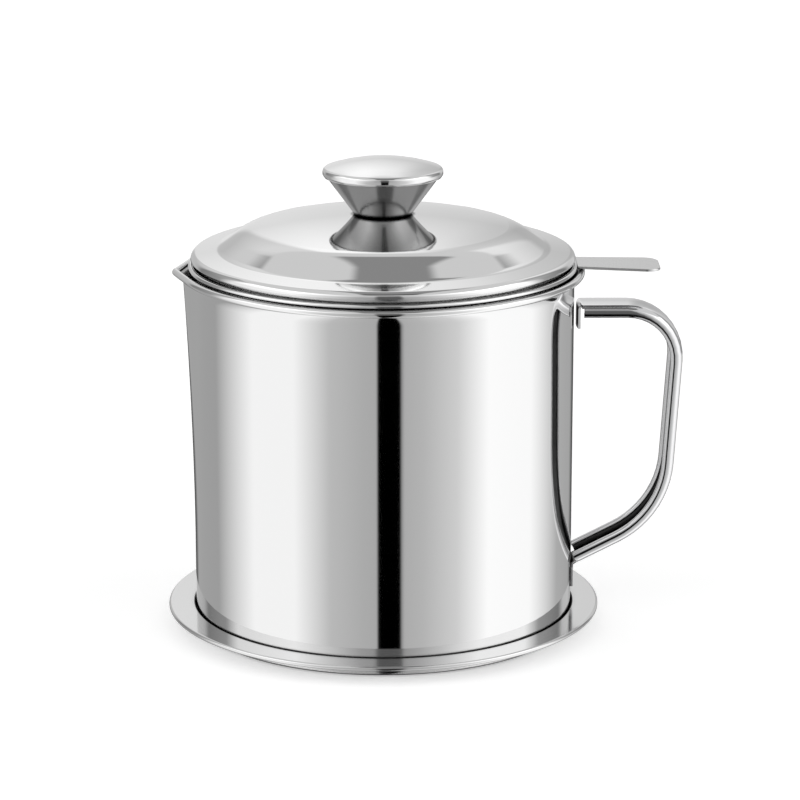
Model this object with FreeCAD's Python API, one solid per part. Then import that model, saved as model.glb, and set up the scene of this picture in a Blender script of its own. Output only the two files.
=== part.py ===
"""Bacon grease container: a saucer, a pouring pot, a lift-out strainer and a knobbed lid.

Millimetres. The origin is the centre of the saucer's underside and +Z is up.
The handle and the strainer's tab point to +X, and the spout points to -X.
"""
import FreeCAD, Part
import math
import os

# --- Saucer -------------------------------------------------------------------
saucer_sheet = 0.6           # stainless sheet
saucer_depth = 5.4           # floor to flange
saucer_flange = 7.6          # flat width outside the well
saucer_draft = 0.4           # the well narrows by this much towards its floor
saucer_bend = 1.0            # bend radius on the upper face, at the floor and the flange
saucer_lip = 1.6             # height of the turned-down edge
saucer_room = 0.9            # gap round the pot at the top of the well

# --- Pot ----------------------------------------------------------------------
pot_radius = 62.5            # outside of the wall
pot_height = 117.6           # underside to the middle of the rolled rim
pot_wall = 0.6
pot_corner = 2.5             # outside radius between floor and wall
pot_foot_width = 8.0         # the ring that the pot stands on
pot_foot_rise = 0.8          # how far the middle of the floor is pressed up
rim_bead_radius = 1.2        # rolled rim
rim_overhang = 2.2           # middle of the rolled rim beyond the wall's outside
rim_tuck = 0.55              # the wall's outside meets the rolled rim this far inside its middle
rim_flare_height = 9.0       # the wall widens to the rim over this height
spout_reach = 3.0            # how far the spout stands out of the round rim
spout_tip_radius = 2.8       # tip of the spout, at the middle of the rolled rim
spout_start = 29.4           # height above the pot's underside where the spout begins
spout_fade = 1.8             # power by which the spout grows with height

# --- Handle -------------------------------------------------------------------
handle_width = 15.0
handle_depth = 4.2           # of the rolled channel section
handle_sheet = 0.8
handle_crown = 0.5           # the outer face is this much higher along its middle
handle_roll = 1.7            # radius of the rolled edges, outside
handle_return = 3.2          # width of each turned-in edge on the hand's side
handle_drop = 10.8           # outer face of the upper arm, below the middle of the rolled rim
handle_reach = 37.1          # from the wall to where the grip's line meets the upper arm
handle_low_reach = 32.5      # from the wall to where the grip's line meets the lower arm
handle_low_corner = 34.9     # height of that point
handle_foot = 18.2           # outer face of the lower arm at the pot's wall
handle_top_bend = 18.5       # bend radii of the outer face
handle_low_bend = 33.0
handle_top_setback = 2.8     # the rolled edges stop this far from the wall on the upper arm
handle_low_setback = 1.0     # and this far on the lower arm
tab_height = 8.0             # welded end, folded down the wall at the upper arm
low_tab_height = 7.0         # the same at the lower arm
tab_corner = 2.0

# --- Strainer -----------------------------------------------------------------
strainer_sheet = 0.5
strainer_bead_radius = 0.65  # rolled edge
strainer_rise = 2.3          # middle of its rolled edge above the middle of the pot's
strainer_depth = 24.5        # rolled edge to the cup's floor
strainer_flare_height = 5.0  # the mouth widens over this height and seats in the pot's mouth
strainer_taper = 1.0         # the wall narrows by this much towards the floor
strainer_corner = 4.0        # inside radius between wall and floor
seat_gap = 0.35              # radial room between nested mouths
strainer_floor_width = 10.05 # from the wall's foot to the hole for the mesh
mesh_overlap = 4.0           # the mesh lies under the floor by this much
mesh_thickness = 0.45
ring_sheet = 0.5
ring_lip_room = 0.3          # between the mesh and the ring's upturned edge
strainer_tab_length = 27.2   # beyond the rolled edge
strainer_tab_root = 15.0     # width at the strainer
strainer_tab_tip = 19.0      # width at the outer end
strainer_tab_sheet = 0.9
strainer_tab_corner = 5.0
strainer_tab_drop = 0.7      # the outer end hangs this much lower
strainer_tab_gap = 0.4       # above the pot's rolled rim

# --- Lid ----------------------------------------------------------------------
lid_sheet = 0.6
lid_overhang = 0.3           # lid's outside beyond the middle of the strainer's rolled edge
lid_edge_gap = 0.95          # lower edge above the strainer's rolled edge
lid_edge_height = 2.3        # lower edge to the ring's outer corner
lid_shoulder = 2.2           # outside radius at that corner
lid_ring_fall = 9.0          # degrees, the ring falls outwards
lid_ring_fillet = 5.2
lid_slope = 36.0             # degrees, between the ring and the dome
lid_rise = 12.6              # ring's outer corner to the top of the dome
lid_dome_radius = 205.0
lid_dome_margin = 21.7       # from the lid's outside to where the dome ends
lid_brow = 20.0              # radius between the dome and the slope
skirt_sheet = 0.5
skirt_depth = 8.2            # the locating ring under the lid
skirt_flange = 4.6           # its welded flange

# --- Knob ---------------------------------------------------------------------
knob_foot_radius = 9.4
knob_cone_radius = 19.0
knob_cone_height = 13.3
knob_cone_sheet = 1.0
knob_cap_sheet = 0.6
knob_cap_dome = 61.0         # radius of the cap's top
knob_cap_rise = 4.9          # above the cone's upper edge
knob_cap_lip = 0.8           # crimped under the cone's edge
knob_cap_roll = 1.2          # outside radius of the cap's upper edge
insert_radius = 5.0
insert_height = 9.0
screw_radius = 2.0
screw_length = 9.0           # from the washer up
screw_head_radius = 4.0
screw_head_height = 2.4
washer_radius = 6.0
washer_thickness = 1.0
bore_room = 0.1              # between the screw and the bores that it passes
hole_room = 0.3              # between the screw and the holes in the sheet

# --- Places that follow from the sizes ----------------------------------------
ORIGIN = FreeCAD.Vector(0, 0, 0)
UP = FreeCAD.Vector(0, 0, 1)

pot_base = saucer_sheet
rim_level = pot_base + pot_height
rim_radius = pot_radius + rim_overhang
pot_mouth_radius = rim_radius - rim_bead_radius
spout_base = pot_base + spout_start
spout_half_angle = math.acos((rim_radius - spout_tip_radius)
                             / (rim_radius + spout_reach - spout_tip_radius))
well_radius = pot_radius + saucer_room
saucer_radius = well_radius + saucer_sheet + saucer_flange
flange_top = saucer_sheet + saucer_depth

handle_top = rim_level - handle_drop
grip_radius = pot_radius + handle_reach
low_grip_radius = pot_radius + handle_low_reach

strainer_level = rim_level + strainer_rise
strainer_wall = pot_radius - pot_wall - seat_gap          # outside, below the flared mouth
strainer_bead_centre = pot_mouth_radius - seat_gap - strainer_bead_radius - 0.1
strainer_floor = strainer_level - strainer_depth
strainer_floor_radius = strainer_wall - strainer_sheet - strainer_taper
mesh_opening_radius = strainer_floor_radius - strainer_floor_width
mesh_top = strainer_floor - strainer_sheet
mesh_radius = mesh_opening_radius + mesh_overlap
ring_top = mesh_top - mesh_thickness

lid_edge = strainer_level + strainer_bead_radius + lid_edge_gap
lid_ring_level = lid_edge + lid_edge_height
lid_top = lid_ring_level + lid_rise
lid_radius = strainer_bead_centre + lid_overhang
lid_dome_edge = lid_radius - lid_dome_margin
lid_dome_centre = lid_top - lid_dome_radius

knob_base = lid_dome_centre + math.sqrt(lid_dome_radius ** 2 - knob_foot_radius ** 2)
knob_edge = knob_base + knob_cone_height


# --- Shared ways of making a shape ---------------------------------------------
def flat(x, z):
    """A point of a section, in the XZ plane."""
    return FreeCAD.Vector(x, 0, z)


def unit(vector):
    return FreeCAD.Vector(vector).normalize()


def beside(points, distance):
    """The corners of a line that runs beside this one, to its right."""
    rights = []
    for start, end in zip(points, points[1:]):
        way = unit(end - start)
        rights.append(FreeCAD.Vector(way.z, 0, -way.x))
    moved = [points[0] + rights[0] * distance]
    for corner, first, second in zip(points[1:-1], rights, rights[1:]):
        moved.append(corner + (first + second) * (distance / (1 + first.dot(second))))
    moved.append(points[-1] + rights[-1] * distance)
    return moved


def bend_radii(points, radii, distance):
    """The bend radii of the line that runs beside this one, to its right."""
    result = []
    for before, corner, after, radius in zip(points, points[1:], points[2:], radii):
        right_turn = (corner - before).cross(after - corner).y > 0
        result.append(radius - distance if right_turn else radius + distance)
    return result


def rounded_line(points, radii):
    """Edges along the points, with each inner corner rounded by its radius."""
    edges = []
    start = points[0]
    for before, corner, after, radius in zip(points, points[1:], points[2:], radii):
        back = unit(before - corner)
        ahead = unit(after - corner)
        half = back.getAngle(ahead) / 2
        enter = corner + back * (radius / math.tan(half))
        leave = corner + ahead * (radius / math.tan(half))
        inward = unit(back + ahead)
        middle = corner + inward * (radius / math.sin(half) - radius)
        if start.distanceToPoint(enter) > 1e-6:
            edges.append(Part.LineSegment(start, enter).toShape())
        edges.append(Part.Arc(enter, middle, leave).toShape())
        start = leave
    edges.append(Part.LineSegment(start, points[-1]).toShape())
    return edges


def sheet_section(corners, radii, thickness):
    """A bent sheet's cut face, to the right of the line, or to its left if the thickness is negative."""
    points = [flat(x, z) for x, z in corners]
    other = beside(points, thickness)
    face_side = rounded_line(points, radii)
    back_side = rounded_line(other, bend_radii(points, radii, thickness))
    ends = [Part.LineSegment(points[end], other[end]).toShape() for end in (0, -1)]
    return Part.Face(Part.Wire(Part.__sortEdges__(face_side + back_side + ends)))


def spun(face):
    return face.revolve(ORIGIN, UP, 360)


def spun_ring(centre_radius, level, radius):
    """A round bar bent into a ring."""
    return Part.makeTorus(centre_radius, radius, FreeCAD.Vector(0, 0, level), UP)


def tube(outer, inner, low, high):
    base = FreeCAD.Vector(0, 0, low)
    return Part.makeCylinder(outer, high - low, base).cut(Part.makeCylinder(inner, high - low, base))


# --- Saucer ---------------------------------------------------------------------
def make_saucer():
    corners = [
        (0, saucer_sheet),
        (well_radius - saucer_draft, saucer_sheet),
        (well_radius, flange_top),
        (saucer_radius, flange_top),
        (saucer_radius, flange_top - saucer_lip),
        (saucer_radius - saucer_lip, flange_top - saucer_lip),
    ]
    roll = saucer_lip / 2 - 0.05
    return spun(sheet_section(corners, [saucer_bend, saucer_bend, roll, roll], saucer_sheet))


# --- Pot ------------------------------------------------------------------------
def wall_radius_at(level):
    """Outside of the wall, which widens to the rolled rim near its top."""
    share = max(0.0, (level - rim_level + rim_flare_height) / rim_flare_height)
    return pot_radius + (rim_overhang - rim_tuck) * share ** 3


def spout_reach_at(level):
    share = max(0.0, (level - spout_base) / (rim_level - spout_base))
    return spout_reach * share ** spout_fade


def mouth_outline(radius, reach, level):
    """A circle with a pouring lip: two tangents that meet in a small round tip at -X."""
    angle = spout_half_angle
    tip_radius = radius - reach * math.cos(angle) / (1 - math.cos(angle))
    tip_centre = FreeCAD.Vector(tip_radius - radius - reach, 0, level)
    left = FreeCAD.Vector(-math.cos(angle), math.sin(angle), 0)
    right = FreeCAD.Vector(-math.cos(angle), -math.sin(angle), 0)
    axis_point = FreeCAD.Vector(0, 0, level)
    wall_left = axis_point + left * radius
    wall_right = axis_point + right * radius
    tip_left = tip_centre + left * tip_radius
    tip_right = tip_centre + right * tip_radius
    tip = tip_centre - FreeCAD.Vector(tip_radius, 0, 0)
    return Part.Wire([
        Part.Arc(wall_right, axis_point + FreeCAD.Vector(radius, 0, 0), wall_left).toShape(),
        Part.LineSegment(wall_left, tip_left).toShape(),
        Part.Arc(tip_left, tip, tip_right).toShape(),
        Part.LineSegment(tip_right, wall_right).toShape(),
    ])


def round_outline(radius, level):
    """The plain circle below the spout, in the same four stretches as the outline above it."""
    first = math.pi - spout_half_angle
    second = first + math.radians(1.5)

    def at(angle):
        return FreeCAD.Vector(radius * math.cos(angle), radius * math.sin(angle), level)

    def arc(start, end):
        return Part.Arc(at(start), at((start + end) / 2), at(end)).toShape()

    return Part.Wire([
        arc(-first, first),
        arc(first, second),
        arc(second, 2 * math.pi - second),
        arc(2 * math.pi - second, 2 * math.pi - first),
    ])


def wall_levels():
    straight = rim_level - rim_flare_height - spout_base
    levels = [spout_base + straight * step / 10 for step in range(1, 10)]
    levels += [rim_level - rim_flare_height * (1 - step / 6) for step in range(7)]
    return levels


def upper_wall_solid(inset):
    outlines = [round_outline(pot_radius - inset, spout_base)]
    for level in wall_levels():
        outlines.append(mouth_outline(wall_radius_at(level) - inset, spout_reach_at(level), level))
    return Part.makeLoft(outlines, True, False)


def make_pot_body():
    inner_radius = pot_radius - pot_wall
    floor = pot_base + pot_wall
    foot_inner = pot_radius - pot_foot_width
    cup = spun(sheet_section([
        (0, floor + pot_foot_rise),
        (foot_inner - pot_foot_rise, floor + pot_foot_rise),
        (foot_inner, floor),
        (inner_radius, floor),
        (inner_radius, spout_base),
    ], [pot_foot_rise, pot_foot_rise, pot_corner - pot_wall], pot_wall))
    upper_wall = upper_wall_solid(0).cut(upper_wall_solid(pot_wall))
    rim_line = mouth_outline(rim_radius, spout_reach, rim_level)
    bead = Part.makeCircle(rim_bead_radius, flat(rim_radius, rim_level), FreeCAD.Vector(0, 1, 0))
    rolled_rim = rim_line.makePipeShell([Part.Wire(bead)], True, False)
    return cup.fuse(upper_wall).fuse(rolled_rim)


# --- Handle ---------------------------------------------------------------------
def channel_section():
    """The strip's cut face: a crowned outer face with both edges rolled in, open to the hand's side."""
    side = handle_width / 2
    return sheet_section([
        (handle_return - side, -handle_depth),
        (-side, -handle_depth),
        (-side, -handle_crown),
        (0, 0),
        (side, -handle_crown),
        (side, -handle_depth),
        (side - handle_return, -handle_depth),
    ], [handle_roll, handle_roll, crown_bend(), handle_roll, handle_roll], handle_sheet)


def web_section():
    """The strip without its rolled edges, for the stretch next to the wall."""
    side = handle_width / 2
    flat_side = side - handle_roll
    low = -handle_crown * flat_side / side
    return sheet_section([(-flat_side, low), (0, 0), (flat_side, low)], [crown_bend()], handle_sheet)


def crown_bend():
    """The bend of the crown, which takes up two thirds of the strip's width."""
    side = handle_width / 2
    return side * side / handle_crown * 2 / 3


def handle_line():
    """The middle of the handle's outer face. It starts and ends inside the pot, where the strip is cut."""
    inside = pot_radius - 4 * pot_wall
    lower_slope = (handle_low_corner - handle_foot) / handle_low_reach
    corners = [
        flat(inside, handle_top),
        flat(grip_radius, handle_top),
        flat(low_grip_radius, handle_low_corner),
        flat(inside, handle_foot - lower_slope * (pot_radius - inside)),
    ]
    return Part.Wire(rounded_line(corners, [handle_top_bend, handle_low_bend]))


def welded_end(low, high):
    """A flattened end of the strip, curved to the pot's wall, with rounded corners."""
    curved = tube(pot_radius + handle_sheet, pot_radius, low, high)
    window = Part.makeBox(pot_radius * 2, handle_width, high - low,
                          FreeCAD.Vector(0, -handle_width / 2, low))
    corners = [edge for edge in window.Edges if edge.BoundBox.XLength > pot_radius]
    return curved.common(window.makeFillet(tab_corner, corners))


def swept_strip(section):
    """A section of the strip, taken along the handle's line."""
    line = handle_line()
    section.rotate(ORIGIN, UP, 90)
    section.translate(line.Vertexes[0].Point)
    return line.makePipeShell([section.OuterWire], True, False)


def make_handle():
    middle = (handle_top + handle_foot) / 2
    low_room = Part.makeCylinder(pot_radius + handle_low_setback, middle)
    top_room = Part.makeCylinder(pot_radius + handle_top_setback, middle, UP * middle)
    channel = swept_strip(channel_section()).cut(low_room).cut(top_room)
    ends = swept_strip(web_section()).cut(Part.makeCylinder(pot_radius, 2 * pot_height))
    ends = ends.common(Part.makeCylinder(pot_radius + 2 * handle_top_setback, 2 * pot_height))
    upper_end = welded_end(handle_top - tab_height, handle_top - handle_crown - handle_sheet / 4)
    lower_end = welded_end(handle_foot - low_tab_height, handle_foot + handle_crown + handle_sheet / 2)
    return channel.fuse([ends, upper_end, lower_end])


# --- Strainer -------------------------------------------------------------------
def make_strainer_cup():
    mouth_low = strainer_level - strainer_flare_height
    inner_wall = strainer_wall - strainer_sheet
    cup = spun(sheet_section([
        (mesh_opening_radius, strainer_floor),
        (strainer_floor_radius, strainer_floor),
        (inner_wall, mouth_low),
        (strainer_bead_centre - strainer_sheet, strainer_level),
    ], [strainer_corner, strainer_corner], strainer_sheet))
    return cup.fuse(spun_ring(strainer_bead_centre, strainer_level, strainer_bead_radius))


def make_strainer_mesh():
    return Part.makeCylinder(mesh_radius, mesh_thickness, FreeCAD.Vector(0, 0, ring_top))


def make_mesh_retaining_ring():
    lip = mesh_radius + ring_lip_room
    return spun(sheet_section([
        (mesh_opening_radius, ring_top),
        (lip, ring_top),
        (lip, mesh_top),
    ], [ring_sheet / 2], ring_sheet))


def make_strainer_tab():
    """A flat finger tab over the pot's rim, wider at its end, tipped slightly down."""
    root = strainer_bead_centre + strainer_bead_radius
    inside = root - strainer_tab_corner
    end = root + strainer_tab_length
    low = rim_level + rim_bead_radius + strainer_tab_gap
    corners = [
        FreeCAD.Vector(inside, -strainer_tab_root / 2, low),
        FreeCAD.Vector(end, -strainer_tab_tip / 2, low),
        FreeCAD.Vector(end, strainer_tab_tip / 2, low),
        FreeCAD.Vector(inside, strainer_tab_root / 2, low),
    ]
    outline = Part.makePolygon(corners + corners[:1])
    plate = Part.Face(outline).extrude(UP * strainer_tab_sheet)
    outer_corners = [edge for edge in plate.Edges
                     if edge.BoundBox.ZLength > strainer_tab_sheet / 2 and edge.BoundBox.XMin > end - 0.01]
    plate = plate.makeFillet(strainer_tab_corner, outer_corners)
    tip = math.degrees(math.atan(strainer_tab_drop / strainer_tab_length))
    plate.rotate(FreeCAD.Vector(root, 0, low), FreeCAD.Vector(0, 1, 0), tip)
    return plate.cut(Part.makeCylinder(root, 2 * pot_height))


# --- Lid ------------------------------------------------------------------------
def lid_dome_ball():
    """A ball whose surface is the lid's dome, for the knob's foot to fit."""
    return Part.makeSphere(lid_dome_radius, FreeCAD.Vector(0, 0, lid_dome_centre))


def ring_level_at(radius):
    """The lid's ring is a very flat cone that falls outwards to its corner."""
    return lid_ring_level + (lid_radius - radius) * math.tan(math.radians(lid_ring_fall))


def make_lid_shell():
    dome_turn = math.asin(lid_dome_edge / lid_dome_radius)
    slope = math.radians(lid_slope)
    steeper = math.tan(slope) - math.tan(math.radians(lid_ring_fall))
    dome_corner = lid_dome_radius * math.tan(dome_turn / 2)
    brow_reach = lid_brow * math.tan((slope - dome_turn) / 2)
    brow_radius = lid_dome_edge + brow_reach * math.cos(dome_turn)
    brow_level = lid_top - (brow_radius - dome_corner) * math.tan(dome_turn)
    ring_inner = brow_radius + (brow_level - ring_level_at(brow_radius)) / steeper
    shell = spun(sheet_section([
        (0, lid_top),
        (dome_corner, lid_top),
        (brow_radius, brow_level),
        (ring_inner, ring_level_at(ring_inner)),
        (lid_radius, lid_ring_level),
        (lid_radius, lid_edge),
    ], [lid_dome_radius, lid_brow, lid_ring_fillet, lid_shoulder], lid_sheet))
    screw_hole = Part.makeCylinder(screw_radius + hole_room, lid_top)
    return shell.cut(screw_hole)


def make_lid_skirt():
    """The locating ring that centres the lid in the strainer's mouth."""
    sheet_depth = lid_sheet / math.cos(math.radians(lid_ring_fall))
    outside = strainer_wall - strainer_sheet - seat_gap
    inside = outside - skirt_flange
    corner_level = ring_level_at(outside) - sheet_depth
    return spun(sheet_section([
        (inside, ring_level_at(inside) - sheet_depth),
        (outside, corner_level),
        (outside, corner_level - skirt_depth),
    ], [2 * skirt_sheet], skirt_sheet))


# --- Knob -----------------------------------------------------------------------
def cone_way():
    """The direction up the cone's side, and the direction straight out of it, as (x, z) pairs."""
    run = knob_cone_radius - knob_foot_radius
    length = math.hypot(run, knob_cone_height)
    return (run / length, knob_cone_height / length), (knob_cone_height / length, -run / length)


def make_knob_cone():
    cone = spun(sheet_section([
        (0, knob_base),
        (knob_foot_radius, knob_base),
        (knob_cone_radius, knob_edge),
    ], [knob_cone_sheet + 0.2], -knob_cone_sheet))
    bore = Part.makeCylinder(screw_radius + hole_room, lid_top + knob_cone_height)
    return cone.cut(lid_dome_ball()).cut(bore)


def make_knob_cap():
    """A domed disc whose edge is crimped round the cone's upper edge."""
    up_side, out_of_side = cone_way()
    outside = knob_cone_radius + knob_cap_sheet
    top = knob_edge + knob_cap_rise
    turn = math.asin((outside - knob_cap_roll) / knob_cap_dome)
    dome_corner = knob_cap_dome * math.tan(turn / 2)
    edge_level = top - (outside - dome_corner) * math.tan(turn)
    hem_x = knob_cone_radius + out_of_side[0] * knob_cap_sheet
    hem_z = knob_edge + out_of_side[1] * knob_cap_sheet
    hem_corner_level = hem_z + (outside - hem_x) * up_side[1] / up_side[0]
    return spun(sheet_section([
        (0, top),
        (dome_corner, top),
        (outside, edge_level),
        (outside, hem_corner_level),
        (hem_x - up_side[0] * knob_cap_lip, hem_z - up_side[1] * knob_cap_lip),
    ], [knob_cap_dome, knob_cap_roll, knob_cap_sheet + 0.1], knob_cap_sheet))


def make_knob_insert():
    """The threaded boss in the cone, standing on the cone's foot."""
    low = FreeCAD.Vector(0, 0, knob_base + knob_cone_sheet)
    boss = Part.makeCylinder(insert_radius, insert_height, low)
    return boss.cut(Part.makeCylinder(screw_radius + bore_room, insert_height, low))


def washer_top():
    under = lid_dome_radius - lid_sheet
    return lid_dome_centre + math.sqrt(under ** 2 - washer_radius ** 2)


def make_knob_washer():
    low = FreeCAD.Vector(0, 0, washer_top() - washer_thickness)
    disc = Part.makeCylinder(washer_radius, washer_thickness, low)
    return disc.cut(Part.makeCylinder(screw_radius + bore_room, washer_thickness, low))


def make_knob_screw():
    seat = washer_top() - washer_thickness
    head_low = FreeCAD.Vector(0, 0, seat - screw_head_height)
    shank = Part.makeCylinder(screw_radius, screw_length + washer_thickness, FreeCAD.Vector(0, 0, seat))
    head = Part.makeCylinder(screw_head_radius, screw_head_height, head_low)
    lower_edge = [edge for edge in head.Edges
                  if edge.BoundBox.ZMax < head_low.z + 0.01 and edge.Length > screw_head_radius]
    return head.makeFillet(screw_head_height / 2, lower_edge).fuse(shank)


PIECES = {
    "saucer": make_saucer,
    "pot_body": make_pot_body,
    "pot_handle": make_handle,
    "strainer_cup": make_strainer_cup,
    "strainer_mesh": make_strainer_mesh,
    "mesh_retaining_ring": make_mesh_retaining_ring,
    "strainer_tab": make_strainer_tab,
    "lid_shell": make_lid_shell,
    "lid_skirt": make_lid_skirt,
    "knob_cone": make_knob_cone,
    "knob_cap": make_knob_cap,
    "knob_insert": make_knob_insert,
    "knob_screw": make_knob_screw,
    "knob_washer": make_knob_washer,
}

os.makedirs("parts", exist_ok=True)
for name, make in PIECES.items():
    shape = make()
    shape.exportStep("parts/" + name + ".step")
    box = shape.BoundBox
    print(f"{name}: valid {shape.isValid()}, {len(shape.Solids)} solid, volume {shape.Volume:.1f},"
          f" z {box.ZMin:.2f} to {box.ZMax:.2f}, x {box.XMin:.2f} to {box.XMax:.2f}")
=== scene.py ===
# %% [markdown]
# # A bacon grease container in polished steel
# The object is pressed kitchen ware: a saucer, a pouring pot with a strip handle, a lift-out
# strainer and a domed lid with a conical knob. Nearly all of it is mirror-polished stainless
# steel, which has almost no colour of its own, so the lesson is about two things: very smooth
# curved sheets, and a studio that gives them something plain to reflect.
# The CAD frame is loaded first. It holds every piece at its real size and place.

# %% Load the frame
import math

import bmesh
import bpy
from mathutils import Matrix, Vector


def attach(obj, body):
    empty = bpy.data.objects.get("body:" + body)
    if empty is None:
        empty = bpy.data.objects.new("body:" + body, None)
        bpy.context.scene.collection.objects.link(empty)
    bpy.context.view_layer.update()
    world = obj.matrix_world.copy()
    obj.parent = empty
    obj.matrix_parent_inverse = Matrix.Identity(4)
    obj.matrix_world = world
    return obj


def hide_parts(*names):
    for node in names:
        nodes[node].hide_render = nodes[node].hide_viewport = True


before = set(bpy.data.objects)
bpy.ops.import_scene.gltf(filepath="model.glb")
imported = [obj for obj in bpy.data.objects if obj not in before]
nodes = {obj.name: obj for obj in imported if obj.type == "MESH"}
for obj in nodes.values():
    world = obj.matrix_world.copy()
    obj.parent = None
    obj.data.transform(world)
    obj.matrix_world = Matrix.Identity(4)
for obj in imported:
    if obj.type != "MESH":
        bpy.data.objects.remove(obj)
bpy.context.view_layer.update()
print("pieces in the frame:", sorted(nodes))


# %% [markdown]
# ## Units and colours
# Blender works in metres, while sheet ware is drawn in millimetres, so one small function turns
# millimetres to metres. Colours are written as sRGB hex values, as a paint chart gives them, and
# a second function turns them to the linear values that shaders want.

# %% Units and colours
def mm(value):
    return value / 1000


def linear_colour(hex_value):
    """A linear RGBA colour from an sRGB hex value such as "C8C8CA"."""
    channels = []
    for start in (0, 2, 4):
        shade = int(hex_value[start:start + 2], 16) / 255
        channels.append(shade / 12.92 if shade <= 0.04045 else ((shade + 0.055) / 1.055) ** 2.4)
    return (*channels, 1.0)


print("mid grey in linear values:", [round(channel, 3) for channel in linear_colour("808080")[:3]])


# %% [markdown]
# ## The camera
# A long lens from a little over a metre away keeps the straight wall straight, and looks down at
# 14.8 degrees, so that the lid's dome and the saucer's flange both show. The camera is placed
# from its distance and height above the point that it looks at, on the pot's axis.

# %% Camera
camera_distance = mm(1100)
camera_elevation = math.radians(14.8)
look_height = mm(74)
look_right = mm(5.55)
camera_data = bpy.data.cameras.new("studio_camera")
camera_data.lens = 150.0
camera_data.sensor_width = 36.0
camera_data.clip_start = 0.01
camera = bpy.data.objects.new("studio_camera", camera_data)
bpy.context.scene.collection.objects.link(camera)
camera.location = (
    0.0,
    -camera_distance * math.cos(camera_elevation),
    look_height + camera_distance * math.sin(camera_elevation),
)
line_of_sight = Vector((look_right, 0.0, look_height)) - camera.location
camera.rotation_euler = line_of_sight.to_track_quat("-Z", "Y").to_euler()
bpy.context.scene.camera = camera
bpy.context.scene.view_settings.view_transform = "Standard"
print("camera stands at", [round(value, 3) for value in camera.location])


# %% [markdown]
# ## Adding nodes
# Materials and the studio are node trees. One function adds a node, sets its properties and
# sockets, and links what feeds it, so that each tree reads from top to bottom.

# %% A helper for node trees
def add_node(tree, kind, settings=None, **inputs):
    """Adds a node. An input given as a socket is linked, and any other value is set on the socket.
    A name such as a0 stands for the first input, and an underscore for a space."""
    node = tree.nodes.new(kind)
    for key, value in (settings or {}).items():
        setattr(node, key, value)
    for key, value in inputs.items():
        place = int(key[1:]) if key[1:].isdigit() else key.replace("_", " ")
        if isinstance(value, bpy.types.NodeSocket):
            tree.links.new(value, node.inputs[place])
        else:
            node.inputs[place].default_value = value
    return node


# %% [markdown]
# ## The studio
# Polished steel shows its surroundings, so the surroundings are designed. A pot like this is lit
# by two tall soft boxes, one on each side, with a dark gap between them where the camera stands.
# On the round wall that gap is the narrow black stripe, the soft boxes are the two bright bands,
# and the grey between them is the unlit part of the room.
# The world is painted by direction. The angle round the pot picks a brightness from a ramp, and
# there are two ramps: the upright wall mirrors what is below the horizon, and the lid, the flange
# and every rolled edge mirror what is above it. There a pale panel at the back, brighter towards
# its top and with a darker part of the room on each side, ends at a grey ceiling. Overhead is a
# dark gap, which the lid's step shows as its dark middle.

# %% The studio's bands of light
# Each band: angle from the camera's direction in degrees, positive to the right, and brightness.
LOW_BANDS = [
    (-180, 0.10), (-164, 0.10), (-156, 0.42), (-120, 0.42), (-85, 1.15), (-55, 1.15),
    (-32, 0.62), (-12, 0.52), (-3.6, 0.50), (-3.1, 0.0), (10.9, 0.0), (11.4, 0.52), (24, 0.58),
    (45, 0.78), (66, 1.25), (100, 1.22), (132, 0.50), (156, 0.42), (164, 0.10), (180, 0.10),
]
HIGH_BANDS = [
    (-180, 0.76), (-174, 0.84), (-170, 0.82), (-167, 0.58), (-150, 0.58), (-143, 0.52),
    (-136, 0.24), (-112, 0.36), (-100, 1.00), (-55, 1.20), (-32, 0.78), (-14, 0.46), (-5, 0.40),
    (-3.6, 0.12), (10.9, 0.12), (12, 0.42), (20, 0.50), (36, 0.76), (60, 1.25), (96, 1.25),
    (110, 0.40), (136, 0.24), (144, 0.66), (158, 0.68), (162, 0.52), (170, 0.50), (175, 0.70),
    (180, 0.76),
]
CEILING = 0.51
OVERHEAD_GAP = 0.205
GAP_FRONT = 0.3 * OVERHEAD_GAP
BRIGHTEST = 1.25
PANEL_TOP = 1.46 * BRIGHTEST
print("studio ramps have", len(LOW_BANDS), "and", len(HIGH_BANDS), "bands")


# %% [markdown]
# A direction has three parts: X to the right, Y away from the camera and Z up, each from -1 to 1.
# The angle round the pot comes from X and Y, and finds its place on a ramp. Ramps can't hold a
# brightness above 1, so they hold shares of the brightest one.

# %% The direction and its ramps
world = bpy.data.worlds.new("studio")
bpy.context.scene.world = world
world.use_nodes = True
studio = world.node_tree
studio.nodes.clear()
direction = add_node(studio, "ShaderNodeTexCoord").outputs["Generated"]
split = add_node(studio, "ShaderNodeSeparateXYZ", a0=direction)
toward_camera = add_node(studio, "ShaderNodeMath", {"operation": "MULTIPLY"},
                         a0=split.outputs["Y"], a1=-1.0)
angle = add_node(studio, "ShaderNodeMath", {"operation": "ARCTAN2"},
                 a0=split.outputs["X"], a1=toward_camera.outputs[0])
place_on_ramp = add_node(studio, "ShaderNodeMapRange",
                         a0=angle.outputs[0], a1=-math.pi, a2=math.pi)


def grey(level):
    return (level / BRIGHTEST,) * 3 + (1.0,)


def paint_bands(bands):
    """A ramp with one stop for each band."""
    ramp = add_node(studio, "ShaderNodeValToRGB", a0=place_on_ramp.outputs[0])
    stops = ramp.color_ramp.elements
    for index, (degrees, level) in enumerate(bands):
        stop = stops[index] if index < 2 else stops.new(1.0)
        stop.position = (degrees + 180) / 360
        stop.color = grey(level)
    return ramp.outputs["Color"]


def blend_by_height(low, high, start, end):
    """Mixes two colours between two heights of the direction, from -1 at the nadir to 1."""
    share = add_node(studio, "ShaderNodeMapRange", {"interpolation_type": "SMOOTHSTEP"},
                     a0=split.outputs["Z"], a1=start, a2=end)
    return add_node(studio, "ShaderNodeMix", {"data_type": "RGBA"},
                    a0=share.outputs[0], a6=low, a7=high).outputs[2]


print("grey of the ceiling on a ramp:", round(grey(CEILING)[0], 3))


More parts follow.
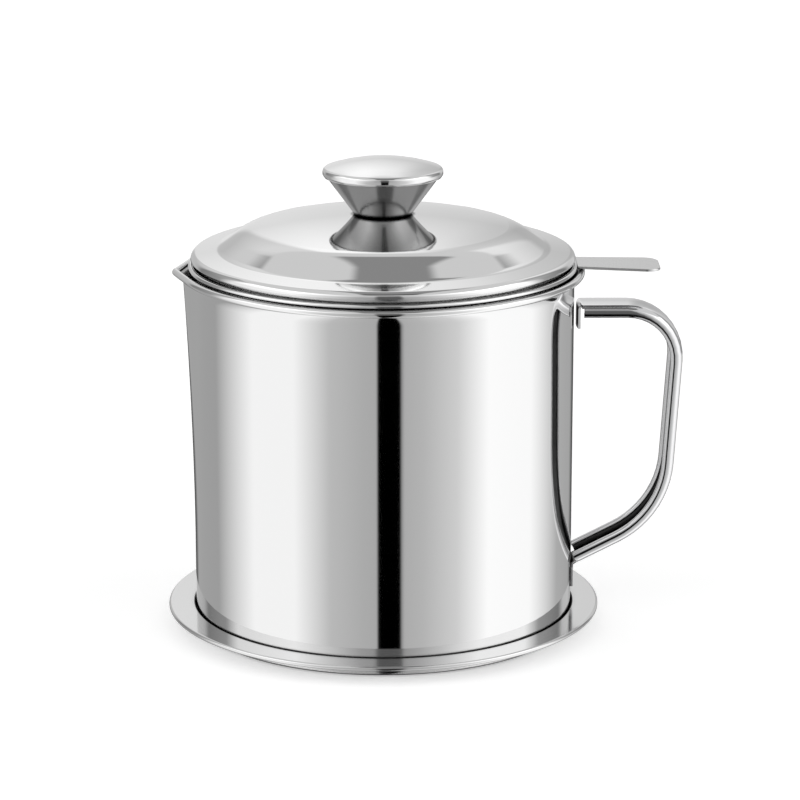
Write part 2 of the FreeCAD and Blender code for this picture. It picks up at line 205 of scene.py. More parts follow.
# %% [markdown]
# The layers go on from the floor up. The two ramps blend a little under the horizon, the ceiling
# covers what is steep, and the gap lies over the ceiling's middle, a little to the right, and is
# darkest towards the camera. Each pair of numbers says from where to where a part of the direction
# goes while one layer turns into the next.

# %% The walls, the ceiling and the gap overhead
horizon = (-0.19, -0.12)
ceiling_edge = (0.66, 0.70)
gap_height = (0.79, 0.82)
gap_side = (0.18, 0.25)
gap_middle = 0.055
gap_front = (-0.45, -0.15)
panel_rise = (0.22, 0.58)
walls = blend_by_height(paint_bands(LOW_BANDS), paint_bands(HIGH_BANDS), *horizon)
with_ceiling = blend_by_height(walls, grey(CEILING), *ceiling_edge)
off_middle = add_node(studio, "ShaderNodeMath", {"operation": "SUBTRACT"},
                      a0=split.outputs["X"], a1=gap_middle)
sideways = add_node(studio, "ShaderNodeMath", {"operation": "ABSOLUTE"}, a0=off_middle.outputs[0])
gap_level = add_node(studio, "ShaderNodeMapRange", a0=split.outputs["Y"], a1=gap_front[0],
                     a2=gap_front[1], a3=GAP_FRONT / BRIGHTEST, a4=OVERHEAD_GAP / BRIGHTEST)
gap_edge = add_node(studio, "ShaderNodeMapRange", {"interpolation_type": "SMOOTHSTEP"},
                    a0=sideways.outputs[0], a1=gap_side[0], a2=gap_side[1])
overhead = add_node(studio, "ShaderNodeMix", {"data_type": "RGBA"}, a0=gap_edge.outputs[0],
                    a6=gap_level.outputs[0], a7=grey(CEILING))
room = blend_by_height(with_ceiling, overhead.outputs[2], *gap_height)
strength = add_node(studio, "ShaderNodeMapRange", a0=split.outputs["Z"], a1=panel_rise[0],
                    a2=panel_rise[1], a3=BRIGHTEST, a4=PANEL_TOP)
print("brightest the studio gets:", round(PANEL_TOP, 3))


# %% [markdown]
# The camera itself sees plain white behind the object, so the picture's background is clean.

# %% What the metal sees and what the camera sees
surroundings = add_node(studio, "ShaderNodeBackground", Color=room, Strength=strength.outputs[0])
plain_white = add_node(studio, "ShaderNodeBackground", Color=(1.0, 1.0, 1.0, 1.0), Strength=1.0)
seen_by = add_node(studio, "ShaderNodeLightPath")
choice = add_node(studio, "ShaderNodeMixShader", a0=seen_by.outputs["Is Camera Ray"],
                  a1=surroundings.outputs[0], a2=plain_white.outputs[0])
add_node(studio, "ShaderNodeOutputWorld", Surface=choice.outputs[0])
print("the world has", len(studio.nodes), "nodes")


# %% [markdown]
# ## Polishing lines
# No steel ware is a perfect mirror. A wheel or a turning tool leaves very fine lines that follow
# the way the piece was worked: rings on what was spun on a lathe, and lengthwise lines on a strip.
# The lines come from noise that is stretched along the way of working: it changes quickly across
# the lines, and slowly along them. On a lathe's rings, across means away from the axis or upwards.

# %% Coordinates that follow the way of working
LINE_LENGTH = 25        # mm, how far a polishing line runs before it fades


def per_mm(size):
    """The scale at which a pattern repeats every so many mm, as a vector."""
    return (1 / mm(size),) * 3


def away_from_axis(tree, position):
    """The vector from the pot's axis to a place, level with the floor."""
    parts = add_node(tree, "ShaderNodeSeparateXYZ", a0=position)
    return add_node(tree, "ShaderNodeCombineXYZ",
                    a0=parts.outputs["X"], a1=parts.outputs["Y"]).outputs[0]


def along_the_work(tree, position, line_width, lines):
    """Coordinates that change quickly across the polishing lines and slowly along them."""
    parts = add_node(tree, "ShaderNodeSeparateXYZ", a0=position)
    if lines == "rings":
        radius = add_node(tree, "ShaderNodeVectorMath", {"operation": "LENGTH"},
                          a0=away_from_axis(tree, position))
        crossing = add_node(tree, "ShaderNodeCombineXYZ", a0=radius.outputs["Value"],
                            a1=parts.outputs["Z"])
    else:
        crossing = add_node(tree, "ShaderNodeCombineXYZ", a0=parts.outputs["Y"])
    narrow = add_node(tree, "ShaderNodeVectorMath", {"operation": "MULTIPLY"},
                      a0=crossing.outputs[0], a1=per_mm(line_width))
    return add_node(tree, "ShaderNodeVectorMath", {"operation": "MULTIPLY_ADD"},
                    a0=position, a1=per_mm(LINE_LENGTH), a2=narrow.outputs[0]).outputs[0]


print("a polishing line is", LINE_LENGTH, "mm long")


# %% [markdown]
# ## Painted shade in crevices, and inside a can
# Where two sheets meet or a rim is rolled, the metal is painted dark: this is painted shade, for
# the shade and dark reflections that fall in such narrow places. Ambient occlusion finds these
# places, because it measures how much of the sky is open. The inside of a can keeps the satin of
# the drawing tool, and is painted a darker grey there as painted shade. It is where the surface
# faces the pot's axis.

# %% Painted shade in crevices, and drawn metal with painted shade inside a can
# Grey of the painted shade in crevices.
CREVICE_SHADE_COLOUR = "262626"
# Drawn satin metal inside a can, painted a darker grey as painted shade.
DRAWN_STEEL_AND_SHADE = "B4B4B4"
DRAWN_ROUGHNESS = 0.3   # added to the buffed metal's own
FACES_IN = -0.92        # how far a wall's normal points inwards: all of it is inside,
FACES_UP = -0.75        # and here it has turned so far up that it is the rim


def paint_crevice_shade(tree, colour, crevice):
    """The metal's colour with painted shade in a crevice. A crevice is what lies within so many mm
    of other metal, and the shares of open sky at which the painted shade is full and at which it
    ends."""
    reach, full_shade_at, no_shade_at = crevice
    openness = add_node(tree, "ShaderNodeAmbientOcclusion", {"samples": 6}, Distance=mm(reach))
    unshaded = add_node(tree, "ShaderNodeMapRange", {"interpolation_type": "SMOOTHSTEP"},
                       a0=openness.outputs["AO"], a1=full_shade_at, a2=no_shade_at)
    return add_node(tree, "ShaderNodeMix", {"data_type": "RGBA"}, a0=unshaded.outputs[0],
                    a6=linear_colour(CREVICE_SHADE_COLOUR), a7=linear_colour(colour)).outputs[2]


def leave_inside_drawn_and_shaded(tree, position, metal, gloss):
    """The colour and roughness of a can's metal, with the drawn metal's satin and a darker grey of
    painted shade where it faces inwards.
    """
    facing = add_node(tree, "ShaderNodeNewGeometry").outputs["Normal"]
    outward = add_node(tree, "ShaderNodeVectorMath", {"operation": "NORMALIZE"},
                       a0=away_from_axis(tree, position))
    turned_out = add_node(tree, "ShaderNodeVectorMath", {"operation": "DOT_PRODUCT"},
                          a0=facing, a1=outward.outputs[0])
    inside = add_node(tree, "ShaderNodeMapRange", {"interpolation_type": "SMOOTHSTEP"},
                      a0=turned_out.outputs["Value"], a1=FACES_IN, a2=FACES_UP, a3=1.0, a4=0.0)
    colour = add_node(tree, "ShaderNodeMix", {"data_type": "RGBA"}, a0=inside.outputs[0],
                      a6=metal, a7=linear_colour(DRAWN_STEEL_AND_SHADE))
    roughness = add_node(tree, "ShaderNodeMath", {"operation": "MULTIPLY_ADD"},
                         a0=inside.outputs[0], a1=DRAWN_ROUGHNESS, a2=gloss)
    return colour.outputs[2], roughness.outputs[0]


print("crevices are", CREVICE_SHADE_COLOUR, "and the inside of a can is", DRAWN_STEEL_AND_SHADE)


# %% [markdown]
# ## Worked steel
# One function makes each steel. The lines bend the surface by a few thousandths of a millimetre and
# vary its roughness, and a second, large and faint noise stands for the uneven gloss that handling
# leaves.

# %% Steel with polishing lines
HANDLED_PATCH = 30      # mm, size of the patches of uneven gloss
GLOSS_SPREAD = 0.25     # share by which the roughness varies up and down
CREVICE_SHADE = (1.3, 0.42, 0.9)  # reach of the painted crevice shade in mm, and the shares of open sky at which it is full and ends


def worked_steel(name, colour, roughness, line_width, line_depth, lines="rings", crevice=CREVICE_SHADE):
    """Steel with lines of the given width and depth in mm, as rings round the pot's axis or
    lengthwise on the handle's strip."""
    material = bpy.data.materials.new(name)
    material.use_nodes = True
    tree = material.node_tree
    tree.nodes.clear()
    position = add_node(tree, "ShaderNodeTexCoord").outputs["Object"]
    lengthwise = along_the_work(tree, position, line_width, lines)
    scratches = add_node(tree, "ShaderNodeTexNoise", a0=lengthwise, Scale=1.0, Detail=2.0)
    handled = add_node(tree, "ShaderNodeTexNoise", a0=position, Scale=1 / mm(HANDLED_PATCH),
                       Detail=3.0)
    uneven = add_node(tree, "ShaderNodeMath", {"operation": "MULTIPLY_ADD"},
                      a0=handled.outputs[0], a1=0.5, a2=scratches.outputs[0])
    gloss = add_node(tree, "ShaderNodeMapRange", a0=uneven.outputs[0], a1=0.4, a2=1.1,
                     a3=roughness * (1 - GLOSS_SPREAD),
                     a4=roughness * (1 + GLOSS_SPREAD)).outputs[0]
    relief = add_node(tree, "ShaderNodeBump", Strength=1.0, Distance=mm(line_depth),
                      Height=scratches.outputs[0])
    # painted shade in the crevices
    metal = paint_crevice_shade(tree, colour, crevice)
    # a can's inside: the drawn metal's satin, and a darker grey of painted shade
    if lines == "rings":
        metal, gloss = leave_inside_drawn_and_shaded(tree, position, metal, gloss)
    shader = add_node(tree, "ShaderNodeBsdfPrincipled", Base_Color=metal,
                      Metallic=1.0, Roughness=gloss, Normal=relief.outputs[0])
    add_node(tree, "ShaderNodeOutputMaterial", Surface=shader.outputs[0])
    print("material:", name, "with", len(tree.nodes), "nodes")
    return material


# %% [markdown]
# ## Mirror-polished stainless steel
# Deep-drawn 18/10 sheet, buffed to a mirror, for the pot, the lid, the strainer and the knob's cap.
# The metal is a light neutral grey, and smooth enough to show sharp edges of what stands round it.
# The saucer is buffed less and has a softer gloss, and its painted shade reaches 5 mm, which paints
# the groove round its well and its wall under the flange dark.

# %% Mirror-polished stainless steel
# Both steels below carry painted shade in their crevices.
mirror_steel = worked_steel("mirror_polished_steel", "E4E4E4", 0.05, 0.4, 0.0015)
# The saucer's painted shade reaches under its flange and round its well.
saucer_steel = worked_steel("buffed_saucer_steel", "DCDCDC", 0.12, 0.4, 0.003,
                            crevice=(5, 0.2, 0.55))


# %% [markdown]
# ## Polished strip steel
# The handle is a rolled strip, polished lengthwise on a belt, so its lines run along it and its
# reflections stretch across it. The belt doesn't reach the hollow side, which stays as it came from
# the rolls, with hardly any reflections, and is painted a much darker grey as painted shade inside
# the channel.

# %% Polished strip steel
strip_steel = worked_steel("belt_polished_strip_steel", "E2E2E3", 0.09, 0.3, 0.003, "lengthwise")
# The hollow side's dark grey is painted shade, for the shade inside the channel.
raw_strip_steel_and_shade = worked_steel("unbuffed_strip_steel_and_shade", "5A5A5A", 0.3, 0.2, 0.004, "lengthwise")


# %% [markdown]
# ## Satin steel
# The knob's cone is turned and left satin: its fine rings blur what it mirrors, and it looks
# darker than the buffed cap. The strainer's tab, the locating ring under the lid and the small
# fittings are bright-rolled sheet, with a soft gloss and no sharp reflections. The mesh is drawn
# wire, which is duller still. The pieces that come as they are from the frame get the satin
# steel here.

# %% Satin steel
turned_steel = worked_steel("turned_satin_steel", "A6A6A6", 0.14, 0.3, 0.005)
satin_steel = worked_steel("satin_rolled_steel", "D8D8D8", 0.20, 0.5, 0.004)
wire_steel = worked_steel("woven_wire_steel", "C8C8C8", 0.24, 0.2, 0.002)
for node in nodes.values():
    node.data.materials.clear()
    node.data.materials.append(satin_steel)
print(len(nodes), "pieces of the frame are satin steel until they are replaced")


# %% [markdown]
# ## Working with sheet
# Nearly every piece is a thin sheet that was bent along a line and spun or swept. So two helpers
# carry some geometry, a point or a whole section, along a path of straight runs and round bends:
# the spin operator with no angle moves it straight, and with an angle it makes a true arc, which
# matters on a mirror, where a lopsided curve shows at once.

# %% Helpers for bent sheet
SAME_PLACE = mm(0.001)      # points closer than this are one


def carry(bm, geometry, steps=1, **motion):
    """Sweeps the geometry with the spin operator and returns its last copy."""
    settings = {"cent": (0, 0, 0), "axis": (0, 1, 0), "dvec": (0, 0, 0), "angle": 0.0, **motion}
    swept = bmesh.ops.spin(bm, geom=geometry, steps=steps, use_merge=False, use_normal_flip=False,
                           use_duplicate=False, **settings)
    return swept["geom_last"]


def walk(bm, geometry, corners, bends):
    """Carries the geometry along corners (x, z) in mm, with a round bend at each inner corner.
    The geometry starts at the first corner. Returns its last copy."""
    points = [Vector((mm(x), 0, mm(z))) for x, z in corners]
    here = points[0]
    for before, corner, after, radius in zip(points, points[1:], points[2:], bends):
        into = (corner - before).normalized()
        out = (after - corner).normalized()
        turn = into.angle(out)
        start = corner - into * (mm(radius) * math.tan(turn / 2))
        if (start - here).length > SAME_PLACE:
            geometry = carry(bm, geometry, dvec=start - here)
        here = start
        if turn > 0.001:
            side = 1 if into.cross(out).y > 0 else -1
            centre = start + Vector((into.z, 0, -into.x)) * (side * mm(radius))
            steps = max(6, round(math.degrees(turn) / 9), round(radius * turn / 3))
            geometry = carry(bm, geometry, steps, cent=centre, angle=side * turn)
            here = corner + out * (mm(radius) * math.tan(turn / 2))
    return carry(bm, geometry, dvec=points[-1] - here)


def cut_line(corners, bends):
    """A bmesh that holds the cut line of a sheet, in the XZ plane, and the line's last vertex.
    The corners are (x, z) in mm, and each inner corner has its bend's radius in mm."""
    bm = bmesh.new()
    first = bm.verts.new((mm(corners[0][0]), 0, mm(corners[0][1])))
    last = walk(bm, [first], corners, bends)
    return bm, [item for item in last if isinstance(item, bmesh.types.BMVert)]


def spin_sheet(bm, steps, looks_up):
    """Spins the cut line round the axis. The face at the line's start looks up, or down."""
    bm.verts.ensure_lookup_table()
    start = bm.verts[0].co.copy()
    bmesh.ops.spin(bm, geom=bm.verts[:] + bm.edges[:], cent=(0, 0, 0), axis=(0, 0, 1),
                   dvec=(0, 0, 0), angle=2 * math.pi, steps=steps, use_merge=True,
                   use_normal_flip=False, use_duplicate=False)
    bmesh.ops.remove_doubles(bm, verts=bm.verts[:], dist=SAME_PLACE)
    bmesh.ops.recalc_face_normals(bm, faces=bm.faces[:])
    nearest = min(bm.faces,
                  key=lambda face: min((vert.co - start).length for vert in face.verts))
    if (nearest.normal.z > 0) != looks_up:
        bmesh.ops.reverse_faces(bm, faces=bm.faces[:])


print("points merge within", SAME_PLACE * 1000, "mm")


# %% [markdown]
# ## Finishing a piece
# Each piece becomes an object that rides on its body, takes its finish from a slot and stands for
# its CAD node. The sheet's thickness is added behind the surface that was drawn, its cut edges are
# eased, and the normals are weighted by area, so that flat runs stay flat in the mirror. A sheet
# that has another finish on its other side gets it with its thickness.

# %% A helper that finishes a piece
def finish_piece(bm, name, body, node, material, sheet=0.0, eased=0.0, other_side=None):
    """Makes the object of a bmesh. The sheet's thickness and the eased edges are in mm."""
    mesh = bpy.data.meshes.new(name)
    bm.to_mesh(mesh)
    bm.free()
    mesh.shade_smooth()
    mesh.materials.append(material)
    piece = bpy.data.objects.new(name, mesh)
    bpy.context.scene.collection.objects.link(piece)
    if sheet:
        thickness = piece.modifiers.new("sheet", "SOLIDIFY")
        thickness.thickness = mm(sheet)
        thickness.offset = -1.0
        thickness.use_even_offset = True
        if other_side:
            mesh.materials.append(other_side)
            thickness.material_offset = 1
    if eased:
        edge = piece.modifiers.new("eased_edges", "BEVEL")
        edge.width = mm(eased)
        edge.segments = 2
        edge.limit_method = "ANGLE"
        edge.angle_limit = math.radians(50)
    piece.modifiers.new("flat_runs_stay_flat", "WEIGHTED_NORMAL").weight = 60
    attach(piece, body)
    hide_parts(node)
    print(name, "has", len(mesh.polygons), "faces")


print("edges sharper than 50 degrees are eased")


# %% [markdown]
# ## The saucer
# A pressed saucer that catches drips. The pot stands in its shallow well. Its flange ends in an
# edge that is folded down and back, which gives the bright line all round.

# %% Saucer
well_radius = 62.9
flange_radius = 71.6
flange_level = 6.0
folded_level = 4.4
saucer_bm, _ = cut_line(
    [(0, 0.6), (well_radius, 0.6), (63.0, flange_level), (flange_radius, flange_level),
     (flange_radius, folded_level), (70.0, folded_level)],
    [1.0, 0.5, 0.75, 0.75])
spin_sheet(saucer_bm, 256, looks_up=True)
finish_piece(saucer_bm, "pressed_saucer", "base", "saucer", saucer_steel,
             sheet=0.6, eased=0.12)


# %% [markdown]
# ## The pot
# A deep-drawn can with a rolled rim. The drawn line is the inner face: it runs over the floor, up
# the wall, leans out in a flare and curls round into the rim. The wall gets its thickness on the
# outside afterwards.

# %% Pot: the cut line
pot_inner_radius = 61.9
flare_start = 114.0
flare_radius = 7.53
flare_lean = 41.6
rim_bead = 1.2
spout_bottom = 30.0
wall_heights = [spout_bottom + (flare_start - spout_bottom) * step / 16 for step in range(16)]
pot_corners = [(0, 2.0), (53.7, 2.0), (54.5, 1.2), (pot_inner_radius, 1.2)]
pot_corners += [(pot_inner_radius, height) for height in wall_heights + [flare_start]]
pot_bm, wall_top = cut_line(pot_corners, [0.8, 0.8, 1.9] + [0] * len(wall_heights))
flare_centre = (mm(pot_inner_radius + flare_radius), 0, mm(flare_start))
flare_top = carry(pot_bm, wall_top, 12, cent=flare_centre, angle=math.radians(flare_lean))
lip = [item for item in flare_top if isinstance(item, bmesh.types.BMVert)]
to_bead = Vector((math.cos(math.radians(flare_lean)), 0, -math.sin(math.radians(flare_lean))))
bead_centre = lip[0].co + to_bead * mm(rim_bead)
rim_curl = math.radians(222)
carry(pot_bm, lip, 26, cent=bead_centre, angle=rim_curl)
spin_sheet(pot_bm, 320, looks_up=True)
print("middle of the rolled rim:", [round(value * 1000, 2) for value in bead_centre])


# %% [markdown]
# ## The pouring lip
# The round mouth is pulled out into a lip at -X. Seen from above, the lip is two straight tangents
# that meet in a small round tip, and lower down the wall the tip grows rounder until it is lost in
# the wall. The same rule is applied to every point of the spun wall. First the points are drawn
# closer together round the back of the lip, because the tip is only a few millimetres wide.

# %% Pouring lip
lip_reach = 3.0
lip_tip_radius = 2.8
rim_radius = 64.7
lip_spread = math.acos((rim_radius - lip_tip_radius) / (rim_radius + lip_reach - lip_tip_radius))
lip_sharpening = math.cos(lip_spread) / (1 - math.cos(lip_spread))
lip_fade = 1.8                      # power by which the lip grows with height
lip_dip = 0.85                      # the tip hangs this much lower than the rim
dip_width = math.radians(17)
crowding = 1.6                      # power that draws points to the tip
rim_level = 118.2
for vert in pot_bm.verts:
    radius = math.hypot(vert.co.x, vert.co.y) * 1000
    height = vert.co.z * 1000
    from_axis = math.atan2(vert.co.y, -vert.co.x)
    angle_off = math.pi * (abs(from_axis) / math.pi) ** crowding
    risen = (height - spout_bottom) / (rim_level - spout_bottom)
    grown = min(1.0, max(0.0, risen)) ** lip_fade
    reach = lip_reach * grown
    tip_radius = radius - lip_sharpening * reach
    tip_centre = radius + reach - tip_radius
    tip_edge = math.atan2(tip_radius * math.sin(lip_spread),
                          tip_centre + tip_radius * math.cos(lip_spread))
    if reach > 0.0001 and angle_off < tip_edge:
        sideways = tip_centre * math.sin(angle_off)
        radius = tip_centre * math.cos(angle_off) + math.sqrt(tip_radius ** 2 - sideways ** 2)
    elif reach > 0.0001 and angle_off < lip_spread:
        radius = radius / math.cos(lip_spread - angle_off)
    turned = math.copysign(angle_off, from_axis)
    dip = lip_dip * math.exp(-(angle_off / dip_width) ** 2) * grown ** 6
    vert.co = (-mm(radius * math.cos(turned)), mm(radius * math.sin(turned)),
               vert.co.z - mm(dip))
print("the lip's tip is at x", round(min(vert.co.x for vert in pot_bm.verts) * 1000, 2), "mm")
finish_piece(pot_bm, "drawn_pot", "pot", "pot_body", mirror_steel,
             sheet=0.6, eased=0.12)


# %% [markdown]
# ## The handle
# A strip with both edges rolled in, so that it is a channel, bent into a hand's loop. Its section
# is drawn with the hollow side below, then turned to lie across the upper arm's start. The two
# ends of the drawn line curl in, as the strip's edges do.

# %% Handle: the rolled section
handle_top = 107.7
tab_face = 63.3
channel_start = 65.6
half_width = 7.5
crown = 0.3
edge_level = -0.6
underside = -4.4
curl_end = (5.2, -3.0)
left_half = [(-curl_end[0], curl_end[1]), (-curl_end[0], underside), (-half_width, underside),
             (-half_width, edge_level)]
right_half = [(-x, z) for x, z in reversed(left_half)]
handle_bm, _ = cut_line(left_half + [(0, crown)] + right_half,
                        [1.14, 1.14, 2.6, 38, 2.6, 1.14, 1.14])
bmesh.ops.rotate(handle_bm, verts=handle_bm.verts[:], cent=(0, 0, 0),
                 matrix=Matrix.Rotation(math.radians(90), 3, "Z"))
bmesh.ops.translate(handle_bm, verts=handle_bm.verts[:],
                    vec=(mm(channel_start), 0, mm(handle_top)))
print("the strip's section has", len(handle_bm.edges), "edges")


# %% [markdown]
# The section is carried along the loop. At each end only the flat middle of the strip goes on,
# bends and lies on the pot's wall, where it is spot welded. So the edges of the flat middle are
# picked out of the section by how far they are from the strip's centre line and from the loop's
# middle.

# %% Handle: picking the flat middle of the strip
FLAT_HALF_WIDTH = 5.85
CROWN_DEPTH = 1.6


def flat_middle(edges):
    """The edges of the section's middle, on the crowned face and on the hollow side."""
    return [edge for edge in edges if all(abs(vert.co.y) < mm(FLAT_HALF_WIDTH)
                                          for vert in edge.verts)]


def outer_face(edges, loop_middle):
    """Of these edges, those on the strip's crowned face, which is furthest from the middle."""
    far = max((vert.co - loop_middle).length for edge in edges for vert in edge.verts
              if abs(vert.co.y) < mm(4))
    return [edge for edge in edges
            if all((vert.co - loop_middle).length > far - mm(CROWN_DEPTH) for vert in edge.verts)]


def with_ends(edges):
    return edges + list({vert for edge in edges for vert in edge.verts})


start_edges = [edge for edge in flat_middle(handle_bm.edges)
               if all(vert.co.z > mm(handle_top - 0.6) for vert in edge.verts)]
print("the upper weld continues", len(start_edges), "edges")


# %% [markdown]
# Both welded ends are made flat and then pressed onto the wall: every point that lies at the wall
# gets the wall's own curve.

# %% Handle: the loop and its welded ends
loop_end = (64.6, 19.28)
loop = [(channel_start, handle_top), (99.6, handle_top), (95.0, 34.9), loop_end]
channel = walk(handle_bm, handle_bm.verts[:] + handle_bm.edges[:], loop, [18.5, 33.0])
low_edges = outer_face(flat_middle([item for item in channel
                                    if isinstance(item, bmesh.types.BMEdge)]),
                       Vector((mm(80), 0, mm(60))))
before = set(handle_bm.verts)
walk(handle_bm, with_ends(low_edges), [loop_end, (tab_face, 18.6), (tab_face, 11.2)], [1.4])
walk(handle_bm, with_ends(start_edges),
     [(channel_start, handle_top), (tab_face, handle_top), (tab_face, 99.4)], [1.6])
for vert in set(handle_bm.verts) - before:
    if vert.co.x < mm(tab_face + 0.01):
        vert.co.x = math.sqrt(mm(tab_face) ** 2 - vert.co.y ** 2)
print("the loop reaches x", round(max(vert.co.x for vert in handle_bm.verts) * 1000, 1), "mm")


# %% [markdown]
# The pieces of the sweep meet at their edges, so doubles are merged first. Then the normals are
# made to agree, and turned outwards if the upper arm's top faces down. The sheet's thickness goes
# on last.

# %% Handle: closing the surface
bmesh.ops.remove_doubles(handle_bm, verts=handle_bm.verts[:], dist=SAME_PLACE)
bmesh.ops.recalc_face_normals(handle_bm, faces=handle_bm.faces[:])
top_face = max(handle_bm.faces, key=lambda face: face.calc_center_median().z)
if top_face.normal.z < 0:
    bmesh.ops.reverse_faces(handle_bm, faces=handle_bm.faces[:])
finish_piece(handle_bm, "rolled_strip_handle", "pot", "pot_handle", strip_steel,
             sheet=0.8, eased=0.15, other_side=raw_strip_steel_and_shade)


# %% [markdown]
# ## The strainer
# A shallow cup that hangs in the pot's mouth by its flared, rolled edge. Its floor is a flat ring,
# and fine woven mesh is clamped under the hole.

# %% Strainer cup
mouth_foot = (61.05, 115.5)
mouth_top = (61.75, 120.2)
roll_radius = 0.9
roll_curl = math.radians(230)
cup_bm, cup_top = cut_line([(50.05, 96.0), (60.05, 96.0), mouth_foot, mouth_top], [4.0, 12.0])
cup_lean = math.atan2(mouth_top[0] - mouth_foot[0], mouth_top[1] - mouth_foot[1])
to_roll = Vector((math.cos(cup_lean), 0, -math.sin(cup_lean)))
roll_centre = cup_top[0].co + to_roll * mm(roll_radius)
carry(cup_bm, cup_top, 20, cent=roll_centre, angle=roll_curl)
spin_sheet(cup_bm, 256, looks_up=True)
finish_piece(cup_bm, "strainer_cup_sheet", "strainer", "strainer_cup", mirror_steel,
             sheet=0.5, eased=0.08)
print("middle of the strainer's rolled edge:", [round(value * 1000, 2) for value in roll_centre])


# %% [markdown]
# ## The woven mesh
# Real kitchen mesh has about 25 wires to the inch, over and under each other. One wire is drawn as
# a zigzag tube whose waves pass over one crossing wire and under the next, and its neighbour waves
# the other way. The pair is copied side by side, and the whole layer is copied again, turned by a
# right angle and upside down, so that it passes under where the first passes over. What sticks out
# of the round is cut off. The wires are drawn a little further apart than real ones, so that they
# still show.

# %% Woven mesh: one layer of wires
wire_spacing = 1.2
wire_radius = 0.12
wave = 0.10
mesh_level = 95.27
mesh_reach = 53.6
pairs = int(mesh_reach / wire_spacing / 2)
corner = -mm(2 * pairs * wire_spacing)
first_wire = Vector((corner, corner, mm(mesh_level)))
mesh_bm = bmesh.new()
for phase in (1, -1):
    ring = bmesh.ops.create_circle(mesh_bm, cap_ends=False, segments=3, radius=mm(wire_radius),
                                   matrix=Matrix.Rotation(math.radians(90), 4, "Y"))["verts"]
    start = first_wire + Vector((0, mm(wire_spacing if phase < 0 else 0), phase * mm(wave / 2)))
    bmesh.ops.translate(mesh_bm, verts=ring, vec=start)
    geometry = ring + list({edge for vert in ring for edge in vert.link_edges})
    for crossing in range(4 * pairs):
        phase = -phase
        geometry = carry(mesh_bm, geometry, dvec=(mm(wire_spacing), 0, phase * mm(wave)))
bmesh.ops.spin(mesh_bm, geom=mesh_bm.verts[:] + mesh_bm.edges[:] + mesh_bm.faces[:], cent=(0, 0, 0),
               axis=(0, 0, 1), dvec=(0, mm(2 * wire_spacing), 0), angle=0, steps=2 * pairs,
               use_merge=False, use_normal_flip=False, use_duplicate=True)
print("one layer has", 4 * pairs + 2, "wires")


# %% [markdown]
# The second layer is a copy of the first. After the round cut the ends of the wires are open, so
# they are closed with small faces.

# %% Woven mesh: the crossing layer and the round cut
layer = mesh_bm.verts[:] + mesh_bm.edges[:] + mesh_bm.faces[:]
crossing_layer = bmesh.ops.duplicate(mesh_bm, geom=layer)["geom"]
crossing_verts = [item for item in crossing_layer if isinstance(item, bmesh.types.BMVert)]
quarter_turn = Matrix.Rotation(math.radians(90), 3, "Z")
upside_down = Matrix.Rotation(math.radians(180), 3, "X")
bmesh.ops.rotate(mesh_bm, verts=crossing_verts, cent=(0, 0, mm(mesh_level)),
                 matrix=quarter_turn @ upside_down)
outside = [vert for vert in mesh_bm.verts if math.hypot(vert.co.x, vert.co.y) > mm(mesh_reach)]
bmesh.ops.delete(mesh_bm, geom=outside, context="VERTS")
bmesh.ops.holes_fill(mesh_bm, edges=[edge for edge in mesh_bm.edges if edge.is_boundary], sides=3)
bmesh.ops.recalc_face_normals(mesh_bm, faces=mesh_bm.faces[:])
finish_piece(mesh_bm, "woven_mesh", "strainer", "strainer_mesh", wire_steel)


# %% [markdown]
# ## The strainer's tab
# A flat finger tab that is welded to the strainer's rolled edge and lies over the pot's rim and the
# handle. It is cut from thicker sheet, a little wider at its end, with two round corners.

# %% Strainer tab
tab_root = 63.1
tab_end = 90.25
tab_low = 119.8
tab_sheet = 0.9
root_half_width = 7.45
end_half_width = 9.5
end_drop = 0.7
tab_bm = bmesh.new()
bmesh.ops.create_grid(tab_bm, x_segments=1, y_segments=1, size=mm(1))
for vert in tab_bm.verts:
    outer = vert.co.x > 0
    across = end_half_width if outer else root_half_width
    vert.co = (mm(tab_end if outer else tab_root), math.copysign(mm(across), vert.co.y),
               mm(tab_low + tab_sheet))
outer_corners = [vert for vert in tab_bm.verts if vert.co.x > mm(80)]
bmesh.ops.bevel(tab_bm, geom=outer_corners, offset=mm(5.0), offset_type="OFFSET",
                affect="VERTICES", segments=10, profile=0.5, material=-1, clamp_overlap=True)
bmesh.ops.rotate(tab_bm, verts=tab_bm.verts[:], cent=(mm(tab_root), 0, mm(tab_low)),
                 matrix=Matrix.Rotation(math.atan(end_drop / 27.2), 3, "Y"))
if tab_bm.faces[:][0].normal.z < 0:
    bmesh.ops.reverse_faces(tab_bm, faces=tab_bm.faces[:])
finish_piece(tab_bm, "finger_tab", "strainer", "strainer_tab", satin_steel,
             sheet=tab_sheet, eased=0.25)


# %% [markdown]
# ## The lid
# A spun lid: a shallow dome, a step down to a ring that falls a little outwards, and a rounded
# shoulder that ends in a short upright edge. The dome is drawn as one wide bend, so that it is part
# of a true sphere and mirrors without a kink.

# %% Lid
dome_top = 137.0
dome_radius = 204.8
lid_radius = 62.7
lid_bm, _ = cut_line([(0, dome_top), (20.71, dome_top), (45.25, 131.99), (53.74, 125.82),
                      (lid_radius, 124.4), (lid_radius, 122.5)], [dome_radius, 20.0, 5.2, 2.2])
spin_sheet(lid_bm, 256, looks_up=True)
finish_piece(lid_bm, "spun_lid", "lid", "lid_shell", mirror_steel,
             sheet=0.6, eased=0.12)


# %% [markdown]
# ## The knob
# A turned cone stands on the lid, and a domed cap is crimped round its upper edge. The cone keeps
# the rings of its turning, while the cap is buffed.

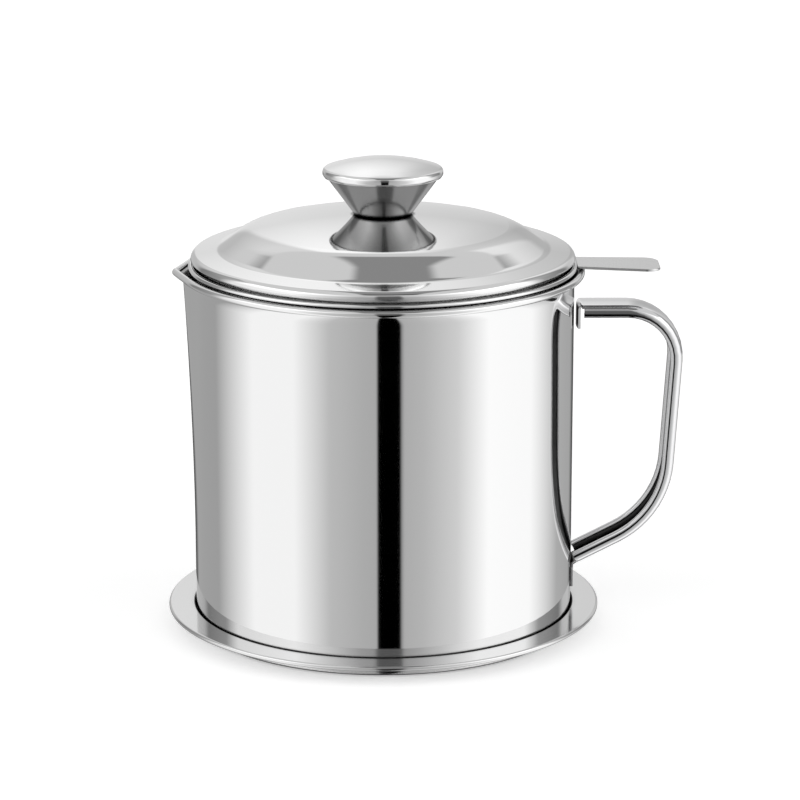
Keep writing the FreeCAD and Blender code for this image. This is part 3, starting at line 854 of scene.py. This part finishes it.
# %% Knob cone and cap
cone_bm, _ = cut_line([(2.4, 136.98), (9.4, 136.80), (19.0, 150.08)], [1.0])
spin_sheet(cone_bm, 192, looks_up=False)
finish_piece(cone_bm, "turned_knob_cone", "lid", "knob_cone", turned_steel,
             sheet=1.0, eased=0.1)
cap_top = 154.98
cap_radius = 19.6
cap_bm, _ = cut_line([(0, cap_top), (9.42, cap_top), (cap_radius, 151.76),
                      (cap_radius, 149.89), (19.02, 149.08)], [61.0, 1.2, 0.7])
spin_sheet(cap_bm, 192, looks_up=True)
finish_piece(cap_bm, "crimped_knob_cap", "lid", "knob_cap", mirror_steel,
             sheet=0.6, eased=0.08)


# %% [markdown]
# ## The floor
# A sheet of pale paper. To the camera it adds a little light of its own, so that it is white like
# the background, and it still darkens where the object keeps the studio's light away. The steel
# doesn't mirror it, as if the ware stood clear of the paper.

# %% The floor
floor_size = 3.0
own_glow = 0.45
floor_mesh = bpy.data.meshes.new("floor")
floor_bm = bmesh.new()
bmesh.ops.create_grid(floor_bm, x_segments=1, y_segments=1, size=floor_size)
floor_bm.to_mesh(floor_mesh)
floor_bm.free()
floor = bpy.data.objects.new("floor", floor_mesh)
bpy.context.scene.collection.objects.link(floor)
floor.location.z = -mm(0.2)
floor.visible_glossy = False
print("floor laid")


# %% [markdown]
# The paper is plain diffuse white. The glow is added to what the camera sees and to nothing else,
# so it puts no light on the steel.

# %% The floor's paper
floor_material = bpy.data.materials.new("floor_paper")
floor_material.use_nodes = True
floor_tree = floor_material.node_tree
floor_tree.nodes.clear()
paper = add_node(floor_tree, "ShaderNodeBsdfDiffuse", Color=linear_colour("F0F0F0"))
seen = add_node(floor_tree, "ShaderNodeLightPath")
own_light = add_node(floor_tree, "ShaderNodeMath", {"operation": "MULTIPLY"},
                     a0=seen.outputs["Is Camera Ray"], a1=own_glow)
glow = add_node(floor_tree, "ShaderNodeEmission", Color=(1.0, 1.0, 1.0, 1.0),
                Strength=own_light.outputs[0])
lit_paper = add_node(floor_tree, "ShaderNodeAddShader", a0=paper.outputs[0], a1=glow.outputs[0])
add_node(floor_tree, "ShaderNodeOutputMaterial", Surface=lit_paper.outputs[0])
floor_mesh.materials.append(floor_material)
print("paper has", len(floor_tree.nodes), "nodes")
